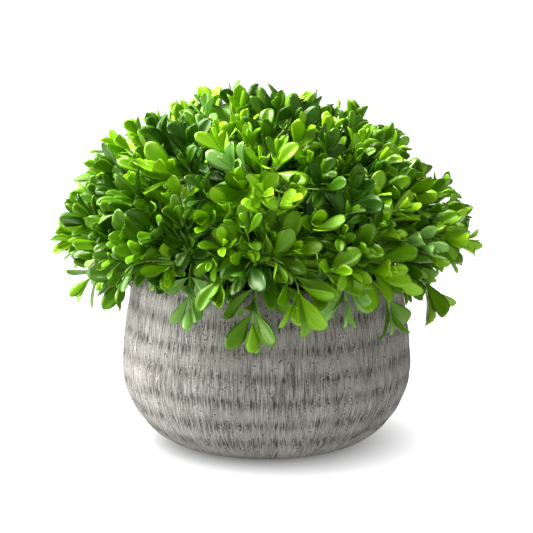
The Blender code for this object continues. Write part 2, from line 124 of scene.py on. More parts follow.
# Twigs: an outer coat of sprays that reaches the dome, a few long ones that hang over the rim, and
# inner and deep ones that stop short of the dome; angles are up from the level of the dome's heart
OUTER_COAT = {
    "seed": 1, "weights": 3, "angles": (90.0, -4.0), "spacing": 0.0265, "reaches": (0.88, 1.0), "pairs": (3, 4, 5),
    "leaf": 1.0, "hang": 2.5, "front": 0.0,
}
HANGING_COAT = {
    "seed": 3, "weights": 3, "angles": (-4.0, -26.0), "spacing": 0.050, "reaches": (0.88, 1.0), "pairs": (2, 3, 4),
    "leaf": 1.08, "hang": 4.0, "front": 0.4,
}
INNER_COAT = {
    "seed": 2, "weights": 4, "angles": (90.0, -16.0), "spacing": 0.031, "reaches": (0.64, 0.84), "pairs": (3, 4),
    "leaf": 0.95, "hang": 2.5, "front": 0.0,
}
DEEP_COAT = {
    "seed": 4, "weights": 4, "angles": (90.0, -14.0), "spacing": 0.034, "reaches": (0.40, 0.58), "pairs": (2, 3),
    "leaf": 0.9, "hang": 2.0, "front": 0.0,
}
SPRAY_SCATTER = 0.22
SPRAY_LIFT = 0.35
TWIG_KNOTS = 9
TWIG_ROOT_RADIUS = 0.0012
TWIG_TIP_RADIUS = 0.0006
TWIG_NUDGES = (0.0, 0.05, 0.1, 0.15, 0.25, 0.35)

# Leaves: opposite pairs, each pair turned across the last, the youngest at the tip the smallest
LEAF_LENGTH = 0.034
LEAF_LENGTH_SPREAD = 0.28
LEAF_SMALLEST = 0.52
LEAF_WIDTH = 0.385
LEAF_THICKNESS = 0.00045
LEAF_COLUMNS = 4
LEAF_STATIONS = (0.0, 0.14, 0.29, 0.44, 0.58, 0.71, 0.83, 0.925, 0.98)
BLADE_CURVES = (1.3, 0.62)
PETIOLE = 0.10
PETIOLE_HALF_WIDTH = 0.022
PAIR_START = 0.0030
PAIR_SPACING = 0.0080
PAIR_STRETCH = 1.15
LEAF_OPENING = 18.0
PAIR_WIDENING = 9.5
WIDEST_OPENING = 78.0
FACE_LIGHT = 0.36
LEAF_TWIST = 30.0
LEAF_TRIES = (
    (1.0, 0.0, 1.0), (1.0, 25.0, 1.0), (1.0, -25.0, 1.0), (0.75, 0.0, 1.0), (0.75, 40.0, 0.95),
    (0.75, -40.0, 0.95), (1.2, 15.0, 0.9), (0.5, 0.0, 0.9), (0.5, 60.0, 0.8), (0.5, -60.0, 0.8),
)
POT_CLEARANCE = 0.0012

# The light: a white surround, and large soft lamps (name, place, size, power)
SURROUND_STRENGTH = 0.42
# The floor's glow is painted light: it makes the grey floor white and hides the lamps' shadows on it; it fades out
# towards the pot's foot, a painted shadow round the foot
FLOOR_GLOW = 0.94
FLOOR_GLOW_FROM = 0.055
FLOOR_GLOW_FULL = 0.122
LIGHTS = (
    ("left_light", (-2.3, 0.1, 0.9), 1.8, 112.0),
    ("top_light", (-1.1, 0.2, 2.0), 1.4, 160.0),
)

# The greens, dealt out by spray: name, colour, roughness, and weight in the outer and inner coat; the inner weights
# favour the darker greens, painted shade inside the crown
LEAF_GREENS = (
    ("deep", (0.022, 0.090, 0.002), 0.34, 1.4, 4.0),
    ("dark", (0.044, 0.140, 0.002), 0.34, 2.2, 3.0),
    ("middle", (0.080, 0.215, 0.002), 0.33, 3.0, 2.0),
    ("fresh", (0.130, 0.315, 0.003), 0.31, 3.0, 0.6),
    ("bright", (0.195, 0.430, 0.004), 0.30, 2.1, 0.2),
    ("young", (0.280, 0.560, 0.012), 0.27, 0.9, 0.1),
    # The pale whitish green below stands for the sheen of the white surround on some leaves: a painted sheen
    ("silvery", (0.240, 0.480, 0.100), 0.22, 0.8, 0.2),
)
YOUNGEST_GREEN = 5


def deselect():
    """Leave edit mode with nothing selected."""
    if bpy.context.object and bpy.context.object.mode != "OBJECT":
        bpy.ops.object.mode_set(mode="OBJECT")
    bpy.ops.object.select_all(action="DESELECT")


def select_only(thing):
    deselect()
    thing.select_set(True)
    bpy.context.view_layer.objects.active = thing


def rename(thing, name):
    thing.name = name
    thing.data.name = name
    return thing


def settle(thing):
    """Put a finished piece's place into its mesh."""
    select_only(thing)
    bpy.ops.object.transform_apply(location=True, rotation=True, scale=True)
    return thing


def finish_piece(thing, finish, slot, *nodes):
    """Dress a piece and tie it to the frame in place of its nodes."""
    thing.data.materials.clear()
    thing.data.materials.append(finish)
    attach(thing, "root")
    if nodes:
        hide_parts(*nodes)
    return thing


class Finish:
    """A material's node tree, with short ways to add the nodes that its pattern needs."""

    def __init__(self, name, colour, roughness):
        self.material = bpy.data.materials.new(name)
        self.material.use_nodes = True
        self.material.diffuse_color = (*colour, 1.0)
        self.nodes = self.material.node_tree.nodes
        self.links = self.material.node_tree.links
        self.shader = self.nodes["Principled BSDF"]
        self.set("Base Color", (*colour, 1.0))
        self.set("Roughness", roughness)

    def set(self, socket, value):
        self.shader.inputs[socket].default_value = value

    def place(self, stretch):
        """Object coordinates, stretched by a scale along each axis."""
        source = self.nodes.new("ShaderNodeTexCoord")
        return self.mapped(source.outputs["Object"], stretch)

    def along_surface(self, name, stretch):
        """A vector that the mesh carries, which follows its surface."""
        source = self.nodes.new("ShaderNodeAttribute")
        source.attribute_name = name
        return self.mapped(source.outputs["Vector"], stretch)

    def carried(self, name):
        source = self.nodes.new("ShaderNodeAttribute")
        source.attribute_name = name
        return source.outputs["Fac"]

    def mapped(self, vector, stretch):
        mapping = self.nodes.new("ShaderNodeMapping")
        mapping.inputs["Scale"].default_value = stretch
        self.links.new(vector, mapping.inputs["Vector"])
        return mapping.outputs["Vector"]

    def noise(self, vector, scale, detail=2.0, roughness=0.5):
        grain = self.nodes.new("ShaderNodeTexNoise")
        grain.inputs["Scale"].default_value = scale
        grain.inputs["Detail"].default_value = detail
        grain.inputs["Roughness"].default_value = roughness
        self.links.new(vector, grain.inputs["Vector"])
        return grain.outputs["Fac"]

    def cells(self, vector, scale):
        grain = self.nodes.new("ShaderNodeTexVoronoi")
        grain.inputs["Scale"].default_value = scale
        self.links.new(vector, grain.inputs["Vector"])
        return grain.outputs["Distance"]

    def span(self, value, low, high, to_low=0.0, to_high=1.0):
        """Stretch a range of values to another one, cut off at its ends."""
        ranger = self.nodes.new("ShaderNodeMapRange")
        ranger.inputs["From Min"].default_value = low
        ranger.inputs["From Max"].default_value = high
        ranger.inputs["To Min"].default_value = to_low
        ranger.inputs["To Max"].default_value = to_high
        self.links.new(value, ranger.inputs["Value"])
        return ranger.outputs["Result"]

    def sum(self, operation, one, other):
        """Two values added, multiplied or otherwise put together; either may be a plain number."""
        both = self.nodes.new("ShaderNodeMath")
        both.operation = operation
        for socket, value in zip(both.inputs, (one, other)):
            if isinstance(value, (int, float)):
                socket.default_value = value
            else:
                self.links.new(value, socket)
        return both.outputs["Value"]

    def blend(self, share, first, second):
        """From one colour to another by a share; each may be a colour or another node's output."""
        mix = self.nodes.new("ShaderNodeMix")
        mix.data_type = "RGBA"
        self.links.new(share, mix.inputs["Factor"])
        for socket, colour in ((mix.inputs["A"], first), (mix.inputs["B"], second)):
            if isinstance(colour, tuple):
                socket.default_value = (*colour, 1.0)
            else:
                self.links.new(colour, socket)
        return mix.outputs["Result"]

    def colour_from(self, socket):
        self.links.new(socket, self.shader.inputs["Base Color"])

    def roughness_from(self, socket):
        self.links.new(socket, self.shader.inputs["Roughness"])

    def bump(self, height, distance, strength=1.0):
        bump = self.nodes.new("ShaderNodeBump")
        bump.inputs["Distance"].default_value = distance
        bump.inputs["Strength"].default_value = strength
        self.links.new(height, bump.inputs["Height"])
        self.links.new(bump.outputs["Normal"], self.shader.inputs["Normal"])


def set_the_stage():
    """A grey floor that glows white, as painted light, except round the pot's foot, where its glow fades into a painted
    shadow; a white surround, and a soft light high on the left.
    """
    deselect()
    bpy.ops.mesh.primitive_plane_add(size=60.0)
    floor = rename(bpy.context.object, "floor")
    paper = Finish("glowing_floor_paper", (0.20, 0.20, 0.20), 0.9)
    paper.set("Specular IOR Level", 0.1)
    paper.set("Emission Color", (1.0, 1.0, 1.0, 1.0))
    out = paper.nodes.new("ShaderNodeVectorMath")
    out.operation = "LENGTH"
    paper.links.new(paper.place((1.0, 1.0, 1.0)), out.inputs[0])
    # Painted light: the floor glows, fading out near the pot's foot into a painted shadow
    glow = paper.span(out.outputs["Value"], FLOOR_GLOW_FROM, FLOOR_GLOW_FULL, 0.0, FLOOR_GLOW)
    paper.links.new(glow, paper.shader.inputs["Emission Strength"])
    floor.data.materials.append(paper.material)

    world = bpy.data.worlds.new("studio")
    bpy.context.scene.world = world
    world.use_nodes = True
    surround = world.node_tree.nodes["Background"]
    surround.inputs["Color"].default_value = (1.0, 1.0, 1.0, 1.0)
    surround.inputs["Strength"].default_value = SURROUND_STRENGTH

    for name, place, size, power in LIGHTS:
        bpy.ops.object.light_add(type="AREA", location=place)
        lamp = bpy.context.object
        lamp.name = name
        lamp.data.size = size
        lamp.data.energy = power
        lamp.rotation_euler = (CAMERA_AIM - Vector(place)).to_track_quat("-Z", "Y").to_euler()

    bpy.ops.object.camera_add(location=CAMERA_AT)
    camera = bpy.context.object
    camera.rotation_euler = (CAMERA_AIM - CAMERA_AT).to_track_quat("-Z", "Y").to_euler()
    camera.data.sensor_width = SENSOR
    camera.data.lens = FOCAL_PIXELS * SENSOR / IMAGE_SIZE
    bpy.context.scene.camera = camera
    bpy.context.scene.view_settings.view_transform = "Standard"


def pot_radius(z):
    """Radius of the pot's outside at a height: a round foot, and a neck that draws in."""
    if z < POT_BELLY_Z:
        left = 1.0 - z / POT_BELLY_Z
        bulge = math.sqrt(1.0 - left**POT_FOOT_CURVE)
        return POT_FOOT_RADIUS + (POT_RADIUS - POT_FOOT_RADIUS) * bulge
    rise = (z - POT_BELLY_Z) / (POT_HEIGHT - POT_BELLY_Z)
    return POT_RADIUS - (POT_RADIUS - POT_RIM_RADIUS) * rise**POT_NECK_CURVE


def evenly(points, count):
    """Points at even steps along a row of points."""
    line = np.array(points)
    runs = np.concatenate(([0.0], np.cumsum(np.hypot(*np.diff(line, axis=0).T))))
    wanted = np.linspace(0.0, runs[-1], count + 1)
    return [tuple(place) for place in np.stack([np.interp(wanted, runs, side) for side in line.T], axis=1)]


def pot_outline():
    """The bowl's half outline (radius, height): foot, outside, lip, inside and floor."""
    lip_start = POT_HEIGHT - POT_WALL / 2
    heights = [lip_start * (step / 800) ** 2 for step in range(801)]
    side = evenly([(pot_radius(z), z) for z in heights], SIDE_RINGS)
    inner = []
    for (radius, z), (next_radius, next_z) in zip(side, side[1:]):
        run = Vector((next_radius - radius, next_z - z)).normalized()
        inner.append((radius - run.y * POT_WALL, z + run.x * POT_WALL))
    inner.append((side[-1][0] - POT_WALL, side[-1][1]))
    inner = [place for place in inner if place[1] > POT_WALL]
    inner = evenly(inner, INNER_RINGS)
    middle = (side[-1][0] + inner[-1][0]) / 2
    half = (side[-1][0] - inner[-1][0]) / 2
    lip = []
    for step in range(1, LIP_STEPS):
        angle = math.pi * step / LIP_STEPS
        lip.append((middle + half * math.cos(angle), lip_start + half * math.sin(angle)))
    return side, [(0.0, 0.0)] + side + lip + inner[::-1] + [(0.0, POT_WALL)]


def band_share(height, wrap):
    """How deep in one of the turning bands a place lies, from 0 to 1; the bands waver."""
    waver = noise.noise(wrap * 16.0) * BAND_WANDER
    share = 0.0
    for index, band in enumerate(BAND_HEIGHTS):
        own_waver = noise.noise(wrap * 9.0 + Vector((0.0, 0.0, 7.3 * index))) * BAND_WANDER
        off = (height + waver + own_waver - band) / BAND_HALF_HEIGHT
        share = max(share, math.exp(-off * off))
    return share


def comb_share(wrap):
    """How deep in a combed groove a place lies, from 0 to 1: long narrow marks down the side."""
    stretched = Vector((wrap.x / GROOVE_WIDTH, wrap.y / GROOVE_WIDTH, wrap.z / GROOVE_LENGTH))
    value = noise.noise(stretched) + 0.35 * noise.noise(stretched * 2.1)
    return min(1.0, max(0.0, (value - 0.10) / 0.35))


def make_pot():
    """The bowl: its outline is spun round, and its side is then worked with bands, grooves and pits."""
    side, outline = pot_outline()
    deselect()
    bpy.ops.mesh.primitive_circle_add(vertices=len(outline), radius=POT_RADIUS)
    pot = rename(bpy.context.object, "cement_pot")
    for corner, (radius, height) in zip(pot.data.vertices, outline):
        corner.co = (radius, 0.0, height)
    axis_edge = [edge for edge in pot.data.edges if set(edge.vertices) == {0, len(outline) - 1}]
    bpy.ops.object.mode_set(mode="EDIT")
    bpy.ops.mesh.select_all(action="DESELECT")
    bpy.ops.object.mode_set(mode="OBJECT")
    axis_edge[0].select = True
    bpy.ops.object.mode_set(mode="EDIT")
    bpy.ops.mesh.select_mode(type="EDGE")
    bpy.ops.mesh.delete(type="EDGE")
    bpy.ops.object.mode_set(mode="OBJECT")
    turn = pot.modifiers.new("Turn", "SCREW")
    turn.axis = "Z"
    turn.steps = POT_STEPS
    turn.render_steps = POT_STEPS
    turn.use_merge_vertices = True
    turn.merge_threshold = 0.000002
    bpy.ops.object.modifier_apply(modifier="Turn")
    bpy.ops.object.mode_set(mode="EDIT")
    bpy.ops.mesh.select_all(action="SELECT")
    bpy.ops.mesh.normals_make_consistent(inside=False)
    bpy.ops.object.mode_set(mode="OBJECT")
    work_the_side(pot, side)
    pot.data.update()
    bpy.ops.object.shade_smooth()
    return finish_piece(pot, cement(), "pot", "pot")


def work_the_side(pot, side):
    """Press bands, grooves, lumps and pits into the outside; the mesh keeps what its finish reads, among it how deep
    each place is pressed in, which the finish paints dark as painted shade.
    """
    heights = [z for _, z in side]
    steps = [math.dist(one, other) for one, other in zip(side, side[1:])]
    runs = [sum(steps[:count]) for count in range(len(side))]
    mesh = pot.data
    spots = vertex_values(mesh, "co")
    normals = vertex_values(mesh, "normal")
    wraps = np.zeros((len(mesh.vertices), 3), np.float32)
    hollows = np.zeros(len(mesh.vertices), np.float32)
    bands = np.zeros(len(mesh.vertices), np.float32)
    foot_line = heights[1]
    for index, spot in enumerate(map(Vector, spots)):
        radius = math.hypot(spot.x, spot.y)
        if radius < 0.001:
            continue
        outward = Vector((spot.x / radius, spot.y / radius, 0.0))
        run = float(np.interp(spot.z, heights, runs))
        wrap = Vector((outward.x * POT_RADIUS, outward.y * POT_RADIUS, run))
        wraps[index] = wrap
        outside = radius > pot_radius(spot.z) - 0.3 * POT_WALL
        if not outside or spot.z < foot_line:
            continue
        band = band_share(spot.z, wrap)
        patch = 0.5 + 0.5 * noise.noise(wrap * 30.0)
        comb = comb_share(wrap) * (0.35 + 0.65 * band) * (0.45 + 0.75 * patch)
        lump = noise.fractal(wrap * 70.0, 1.0, 2.0, 4)
        pit = max(0.0, noise.noise(wrap * 420.0) - 0.42) / 0.3
        depth = BAND_DEPTH * band + GROOVE_DEPTH * comb + LUMP_DEPTH * lump * 0.5 + PIT_DEPTH * min(1.0, pit)
        fade = min(1.0, (spot.z - foot_line) / 0.004)
        bands[index] = band
        # hollow: how deep the surface is pressed in here, for the finish to paint dark as painted shade in the grooves
        # and pits
        hollows[index] = min(1.0, comb + 0.6 * pit) * fade
        spots[index] -= normals[index] * (depth * fade)
    mesh.vertices.foreach_set("co", spots.ravel())
    for name, kind, values in (("wrap", "FLOAT_VECTOR", wraps), ("hollow", "FLOAT", hollows), ("band", "FLOAT", bands)):
        carried = mesh.attributes.new(name, kind, "POINT")
        carried.data.foreach_set("vector" if kind == "FLOAT_VECTOR" else "value", values.ravel())


def cement():
    """Pale grey cement: streaked down its side, darker in its bands, with dark dashes, pits and pale specks, and
    painted shade in its pressed grooves and pits.
    """
    finish = Finish("combed_cement", (0.27, 0.26, 0.235), 0.90)
    finish.set("Specular IOR Level", 0.2)
    wrap = finish.along_surface("wrap", (1.0, 1.0, 1.0))
    dashes = finish.along_surface("wrap", (1.0, 1.0, 0.085))
    scratches = finish.along_surface("wrap", (1.0, 1.0, 0.045))
    band = finish.carried("band")
    hollow = finish.carried("hollow")

    cloudy = finish.span(finish.noise(wrap, 24.0, 5.0, 0.6), 0.34, 0.66)
    body = finish.blend(cloudy, (0.230, 0.217, 0.188), (0.352, 0.338, 0.305))
    sandy = finish.noise(wrap, 1300.0, 3.0, 0.7)
    body = finish.blend(finish.span(sandy, 0.50, 0.72, 0.0, 0.6), body, (0.50, 0.49, 0.46))
    body = finish.blend(finish.span(sandy, 0.48, 0.30, 0.0, 0.7), body, (0.085, 0.082, 0.072))

    streaky = finish.span(finish.noise(wrap, 17.0, 2.0), 0.36, 0.58)
    streak = finish.noise(scratches, 1100.0, 2.0, 0.6)
    pale = finish.sum("MULTIPLY", finish.span(streak, 0.54, 0.66), streaky)
    body = finish.blend(finish.sum("MULTIPLY", pale, 0.75), body, (0.52, 0.50, 0.465))
    dark = finish.sum("MULTIPLY", finish.span(streak, 0.46, 0.36), streaky)
    body = finish.blend(finish.sum("MULTIPLY", dark, 0.65), body, (0.095, 0.091, 0.080))

    # Darker in patches within the turning bands
    band_darkening = finish.sum("MULTIPLY", band, finish.span(finish.noise(wrap, 45.0, 3.0), 0.30, 0.58))
    body = finish.blend(finish.sum("MULTIPLY", band_darkening, 0.42), body, (0.115, 0.111, 0.100))

    dash = finish.span(finish.noise(dashes, 1000.0, 1.0, 0.5), 0.575, 0.615)
    dash = finish.sum("MULTIPLY", dash, finish.span(band, 0.0, 0.8, 0.12, 1.0))
    line = finish.span(finish.noise(scratches, 1250.0, 1.0, 0.5), 0.605, 0.635)
    line = finish.sum("MULTIPLY", line, finish.span(finish.noise(wrap, 40.0, 1.0), 0.42, 0.56))
    dash = finish.sum("MAXIMUM", dash, finish.sum("MULTIPLY", line, 0.8))
    # Painted shade in the pressed grooves and pits (hollow), with the dark dashes
    shade = finish.sum("MAXIMUM", finish.sum("MULTIPLY", hollow, 0.35), finish.sum("MULTIPLY", dash, 0.9))
    body = finish.blend(shade, body, (0.036, 0.033, 0.028))

    pits = finish.span(finish.cells(wrap, 340.0), 0.17, 0.28, 1.0, 0.0)
    pits = finish.sum("MULTIPLY", pits, finish.span(finish.noise(wrap, 75.0), 0.47, 0.57))
    body = finish.blend(finish.sum("MULTIPLY", pits, 0.85), body, (0.040, 0.037, 0.031))
    specks = finish.span(finish.cells(finish.along_surface("wrap", (1.3, 1.3, 1.0)), 330.0), 0.13, 0.23, 1.0, 0.0)
    specks = finish.sum("MULTIPLY", specks, finish.span(finish.noise(wrap, 60.0), 0.50, 0.60))
    body = finish.blend(finish.sum("MULTIPLY", specks, 0.8), body, (0.60, 0.58, 0.53))
    finish.colour_from(body)

    sunk = finish.sum("MAXIMUM", finish.sum("MAXIMUM", dash, pits), finish.sum("MULTIPLY", dark, 0.5))
    raised = finish.sum("ADD", finish.sum("MULTIPLY", sandy, 0.5), finish.sum("MULTIPLY", pale, 0.3))
    finish.bump(finish.sum("SUBTRACT", raised, sunk), 0.0007, 0.9)
    return finish.material


def make_soil():
    """A low mound of potting soil: a disc whose top is inset ring by ring, and left rough."""
    edge_z = SOIL_BOX[1].z - SOIL_DROP
    radius = pot_radius(edge_z) - POT_WALL - 2 * SEAT_GAP
    depth = 0.016
    rings = 30
    deselect()
    bpy.ops.mesh.primitive_cylinder_add(
        vertices=144, radius=radius, depth=depth, location=(0.0, 0.0, edge_z - depth / 2)
    )
    soil = rename(settle(bpy.context.object), "potting_soil")
    for face in soil.data.polygons:
        face.select = face.normal.z > 0.9
    bpy.ops.object.mode_set(mode="EDIT")
    bpy.ops.mesh.select_mode(type="FACE")
    for _ in range(rings):
        bpy.ops.mesh.inset(thickness=radius / (rings + 1.5))
    bpy.ops.mesh.poke()
    bpy.ops.object.mode_set(mode="OBJECT")
    for corner in soil.data.vertices:
        if corner.co.z > edge_z - 0.001:
            share = 1.0 - min(1.0, math.hypot(corner.co.x, corner.co.y) / radius)
            mound = SOIL_DROP * min(1.0, share * 1.6)
            lump = noise.fractal(corner.co * 140.0, 0.9, 2.1, 4) * 0.0012 * min(1.0, share * 12.0)
            corner.co.z += mound + lump
    bpy.ops.object.shade_smooth()
    return finish_piece(soil, peat("peat", 1.0), "soil", "soil")


def peat(name, tone):
    """Near-black crumbly soil, with browner fibres in it."""
    dark = (0.018 * tone, 0.014 * tone, 0.009 * tone)
    finish = Finish(name, dark, 0.95)
    place = finish.place((1.0, 1.0, 1.0))
    patches = finish.span(finish.noise(place, 220.0, 4.0, 0.6), 0.4, 0.65)
    finish.colour_from(finish.blend(patches, dark, (0.075 * tone, 0.050 * tone, 0.028 * tone)))
    finish.bump(finish.noise(place, 900.0, 4.0, 0.7), 0.0012)
    return finish.material


def make_crumbs():
    """Loose crumbs over the soil: one small rough lump, copied all over."""
    draw = random.Random(SEED + 5)
    deselect()
    bpy.ops.mesh.primitive_ico_sphere_add(subdivisions=1, radius=1.0)
    lump = bpy.context.object
    corners, faces = mesh_arrays(lump.data)
    bpy.data.objects.remove(lump, do_unlink=True)
    edge = pot_radius(SOIL_BOX[1].z) - POT_WALL - 0.003
    copies = []
    for _ in range(CRUMBS):
        turn = draw.uniform(0.0, 2.0 * math.pi)
        out = math.sqrt(draw.random())
        size = draw.uniform(0.0005, 0.0016) * draw.uniform(0.8, 1.5)
        top = SOIL_BOX[1].z - SOIL_DROP * (1.0 - min(1.0, (1.0 - out) * 1.6))
        place = Vector((out * edge * math.cos(turn), out * edge * math.sin(turn), top + size * 0.2))
        tumbled = Matrix.Rotation(draw.uniform(0.0, 6.0), 3, Vector((draw.random(), draw.random(), 1.0)))
        stretch = Matrix.Diagonal((size * draw.uniform(0.7, 1.4), size * draw.uniform(0.7, 1.4), size))
        copies.append(np.array(tumbled @ stretch) @ corners.T + np.array(place)[:, None])
    shape = joined_mesh("soil_crumbs", np.stack(copies).transpose(0, 2, 1), faces)
    return finish_piece(shape, peat("crumbly_peat", 1.6), "soil", "soil")


def vertex_values(mesh, kind):
    """The places or the normals of a mesh's corners, one row each."""
    values = np.zeros(len(mesh.vertices) * 3, np.float32)
    mesh.vertices.foreach_get(kind, values)
    return values.reshape(-1, 3)


def mesh_arrays(mesh):
    """A small mesh's corners, and its faces as rows of corner numbers."""
    return vertex_values(mesh, "co").astype(float), [list(face.vertices) for face in mesh.polygons]


def joined_mesh(name, copies, faces):
    """One object from many moved copies of the same faces; copies is (how many, corners, 3)."""
    count, corners, _ = copies.shape
    steps = np.arange(count)[:, None]
    sizes = np.array([len(face) for face in faces])
    loops = np.concatenate([np.array(face) for face in faces])
    mesh = bpy.data.meshes.new(name)
    mesh.vertices.add(count * corners)
    mesh.vertices.foreach_set("co", copies.reshape(-1).astype(np.float32))
    mesh.loops.add(count * len(loops))
    mesh.loops.foreach_set("vertex_index", (loops[None, :] + steps * corners).reshape(-1).astype(np.int32))
    mesh.polygons.add(count * len(faces))
    starts = np.concatenate(([0], np.cumsum(sizes)[:-1]))
    mesh.polygons.foreach_set("loop_start", (starts[None, :] + steps * len(loops)).reshape(-1).astype(np.int32))
    mesh.update(calc_edges=True)
    mesh.validate()
    mesh.shade_smooth()
    thing = bpy.data.objects.new(name, mesh)
    bpy.context.scene.collection.objects.link(thing)
    return thing


def drawn_tubes(name, lines, sides_level):
    """Round tapering tubes along lines of (place, radius), drawn as one curve and made a mesh."""
    deselect()
    bpy.ops.object.add(type="CURVE")
    drawn = bpy.context.object
    drawn.name = name
    curve = drawn.data
    curve.dimensions = "3D"
    curve.bevel_depth = 1.0
    curve.bevel_resolution = sides_level
    curve.use_fill_caps = True
    for line in lines:
        spline = curve.splines.new("POLY")
        spline.points.add(len(line) - 1)
        for knot, (place, radius) in zip(spline.points, line):
            knot.co = (*place, 1.0)
            knot.radius = radius
    select_only(drawn)
    bpy.ops.object.convert(target="MESH")
    tubes = rename(bpy.context.object, name)
    bpy.ops.object.mode_set(mode="EDIT")
    bpy.ops.mesh.select_all(action="SELECT")
    bpy.ops.mesh.remove_doubles(threshold=0.000001)
    bpy.ops.mesh.normals_make_consistent(inside=False)
    bpy.ops.object.mode_set(mode="OBJECT")
    bpy.ops.object.shade_smooth()
    return tubes


def roughen(limbs, depth, grain):
    """Give limbs the furrows of bark, which run along them."""
    spots = vertex_values(limbs.data, "co")
    normals = vertex_values(limbs.data, "normal")
    for index, (x, y, z) in enumerate(spots.tolist()):
        furrow = noise.noise(Vector((x, y, z * 0.35)) * grain)
        spots[index] += normals[index] * (depth * (furrow - 0.2))
    limbs.data.vertices.foreach_set("co", spots.ravel())
    limbs.data.update()
    return limbs


def bark():
    """Thin grey-brown bark, greener where it is young."""
    finish = Finish("bark", (0.13, 0.10, 0.06), 0.85)
    place = finish.place((1.0, 1.0, 0.35))
    furrows = finish.span(finish.noise(place, 700.0, 4.0, 0.6), 0.35, 0.65)
    patches = finish.span(finish.noise(finish.place((1.0, 1.0, 1.0)), 90.0, 3.0), 0.4, 0.65)
    body = finish.blend(furrows, (0.060, 0.045, 0.028), (0.17, 0.135, 0.085))
    finish.colour_from(finish.blend(finish.sum("MULTIPLY", patches, 0.5), body, (0.10, 0.13, 0.05)))
    finish.bump(furrows, 0.0006)
    return finish.material


def stem_point(share):
    """The stem's axis; its foot stands straight, so that the cut under it is level."""
    foot = Vector((0.0, 0.0, SOIL_BOX[1].z + SEAT_GAP))
    rise = Vector((0.0, 0.0, STEM_TOP - foot.z))
    return foot + rise * share + STEM_LEAN * max(0.0, share - 1.0 / 6.0)


def stem_radius(share):
    """Stout at the foot, slim above its flare, and a little thicker again where it forks."""
    flare = (STEM_FOOT_RADIUS - STEM_RADIUS) * (1.0 - share) ** 3
    return STEM_RADIUS + flare + STEM_FORK_SWELL * share**2


def make_stem(finish):
    """The short main stem, from the soil to its fork."""
    line = [(stem_point(step / 24), stem_radius(step / 24)) for step in range(25)]
    stem = drawn_tubes("woody_stem", [line], 6)
    roughen(stem, BARK_DEPTH, 900.0)
    return finish_piece(stem, finish, "wood", "main_stem")


def reach(direction):
    """How far the dome's outside lies from its heart, in a unit direction."""
    outward = math.hypot(direction.x, direction.y) / DOME_RADIUS
    if direction.z > 0.0:
        upward = direction.z / DOME_RISE
        fullness = DOME_FULLNESS - DOME_LOPSIDED * math.cos(math.atan2(direction.y, direction.x))
    else:
        upward = -direction.z / DOME_FALL
        fullness = SKIRT_FULLNESS
    return (outward**fullness + upward**fullness) ** (-1.0 / fullness)


def polar(down, round_about):
    """A unit direction, by its angles down from straight up and round from +X."""
    flat = math.sin(math.radians(down))
    turn = math.radians(round_about)
    return Vector((flat * math.cos(turn), flat * math.sin(turn), math.cos(math.radians(down))))


def mass_directions():
    """The name, the ring and the direction of every mass; the rings wander a little."""
    draw = random.Random(SEED)
    masses = []
    for ring, count, down, first in (TOP_RING, UPPER_RING, LOWER_RING):
        for index in range(count):
            name = ring if count == 1 else f"{ring}_{index + 1}"
            wander = RING_WANDER if count > 1 else 0.0
            tilt = down + draw.uniform(-wander, wander)
            turn = first + 360.0 * index / count + draw.uniform(-wander, wander)
            masses.append((name, ring, polar(tilt, turn)))
    return masses


def smooth_line(start, leaving, end, arriving, count):
    """Points from start to end that set out along one direction and come in along the other."""
    pull = (end - start).length * BOUGH_BEND
    first = start + leaving.normalized() * pull
    second = end - arriving * pull
    for step in range(count + 1):
        share = step / count
        rest = 1.0 - share
        bend = first * (3 * rest**2 * share) + second * (3 * rest * share**2)
        yield start * rest**3 + bend + end * share**3


def tapered(points, first_radius, last_radius):
    """Pair each point of a line with its radius."""
    points = list(points)
    last = len(points) - 1
    return [(place, first_radius + (last_radius - first_radius) * index / last) for index, place in enumerate(points)]


def make_boughs(masses, finish):
    """One tapering bough from the stem into each mass."""
    lines = []
    for index, (_, ring, direction) in enumerate(masses):
        tip = HEART + direction * (reach(direction) * BOUGH_REACH - SEAT_GAP)
        if ring == "top":
            root = stem_point(1.0) + Vector((0.0, 0.0, SEAT_GAP))
            leaving = direction
        else:
            height, rise = LOWER_BOUGH if ring == "lower" else UPPER_BOUGH
            leaving = Vector((direction.x, direction.y, 0.0)).normalized()
            out = STEM_RADIUS * 0.9
            root = Vector((0.0, 0.0, height + BOUGH_STAGGER * (index % 2))) + leaving * out
            leaving.z = math.tan(math.radians(rise))
        lines.append(tapered(smooth_line(root, leaving, tip, direction, 24), BOUGH_ROOT_RADIUS, BOUGH_TIP_RADIUS))
    boughs = drawn_tubes("woody_boughs", lines, 3)
    roughen(boughs, BARK_DEPTH * 0.6, 1300.0)
    return finish_piece(boughs, finish, "wood", *["bough_" + name for name, _, _ in masses])


def clear_of_pot(point, clearance):
    """Whether a point lies over the pot's rim, or outside its wall."""
    if point.z > POT_HEIGHT + clearance:
        return True
    return math.hypot(point.x, point.y) > pot_radius(max(point.z, 0.0)) + clearance


def twig_targets(coat):
    """Points all over the dome, or a share of the way out to it: a golden-angle spiral."""
    draw = random.Random(SEED + coat["seed"])
    height, lowest = (
        math.sin(math.radians(angle)) * (1.0 if angle > 0.0 else DOME_RADIUS / DOME_RISE)
        for angle in coat["angles"]
    )
    turn = 0.7 * coat["seed"]
    while height > lowest:
        slant = math.sqrt(DOME_RISE**2 + (DOME_RADIUS**2 - DOME_RISE**2) * height**2)
        step = coat["spacing"] ** 2 / (2.0 * math.pi * DOME_RADIUS * slant)
        middle = height - step / 2
        flat = math.sqrt(max(0.0, 1.0 - middle * middle)) * DOME_RADIUS
        direction = Vector((flat * math.cos(turn), flat * math.sin(turn), DOME_RISE * middle)).normalized()
        share = draw.uniform(*coat["reaches"])
        if draw.random() >= coat["front"] * (1.0 - abs(math.sin(turn))):
            yield direction, HEART + direction * reach(direction) * share
        height -= step
        turn += GOLDEN_ANGLE


